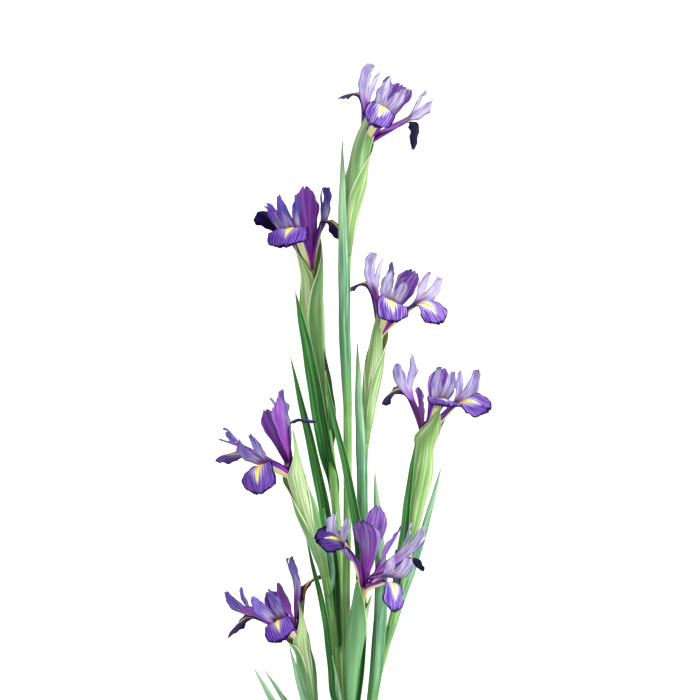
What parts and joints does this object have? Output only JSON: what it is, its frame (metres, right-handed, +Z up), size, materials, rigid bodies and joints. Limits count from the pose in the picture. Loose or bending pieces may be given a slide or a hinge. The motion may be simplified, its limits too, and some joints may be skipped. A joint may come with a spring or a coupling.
{
  "type": "irises in a vase",
  "caption": "Cut Dutch irises with violet falls and lilac crests, standing with their leaves in a plain glazed vase of water.",
  "frame": {"origin": "middle of the vase's flat foot, on the surface it stands on", "axes": "+Z up along the vase, -Y towards the side the bunch is seen from, +X to the viewer's right"},
  "size_m": [0.2235, 0.154, 0.7731],
  "materials": {
    "glaze": "gloss",
    "stem": "satin",
    "petal": "satin",
    "style": "satin",
    "spathe": "satin",
    "water": "gloss"
  },
  "bodies": {
    "root": {"vase": "glaze", "iris_1_leafy_stem": "stem", "iris_2_leafy_stem": "stem", "iris_3_leafy_stem": "stem", "iris_4_leafy_stem": "stem", "iris_5_leafy_stem": "stem", "iris_6_leafy_stem": "stem", "iris_7_leafy_stem": "stem", "iris_1_bloom": "petal", "iris_2_bloom": "petal", "iris_3_bloom": "petal", "iris_4_bloom": "petal", "iris_5_bloom": "petal", "iris_6_bloom": "petal", "iris_7_bloom": "petal", "iris_1_styles": "style", "iris_2_styles": "style", "iris_3_styles": "style", "iris_4_styles": "style", "iris_5_styles": "style", "iris_6_styles": "style", "iris_7_styles": "style", "iris_1_spathe": "spathe", "iris_2_spathe": "spathe", "iris_3_spathe": "spathe", "iris_4_spathe": "spathe", "iris_5_spathe": "spathe", "iris_6_spathe": "spathe", "iris_7_spathe": "spathe", "water": "water"}
  },
  "joints": []
}
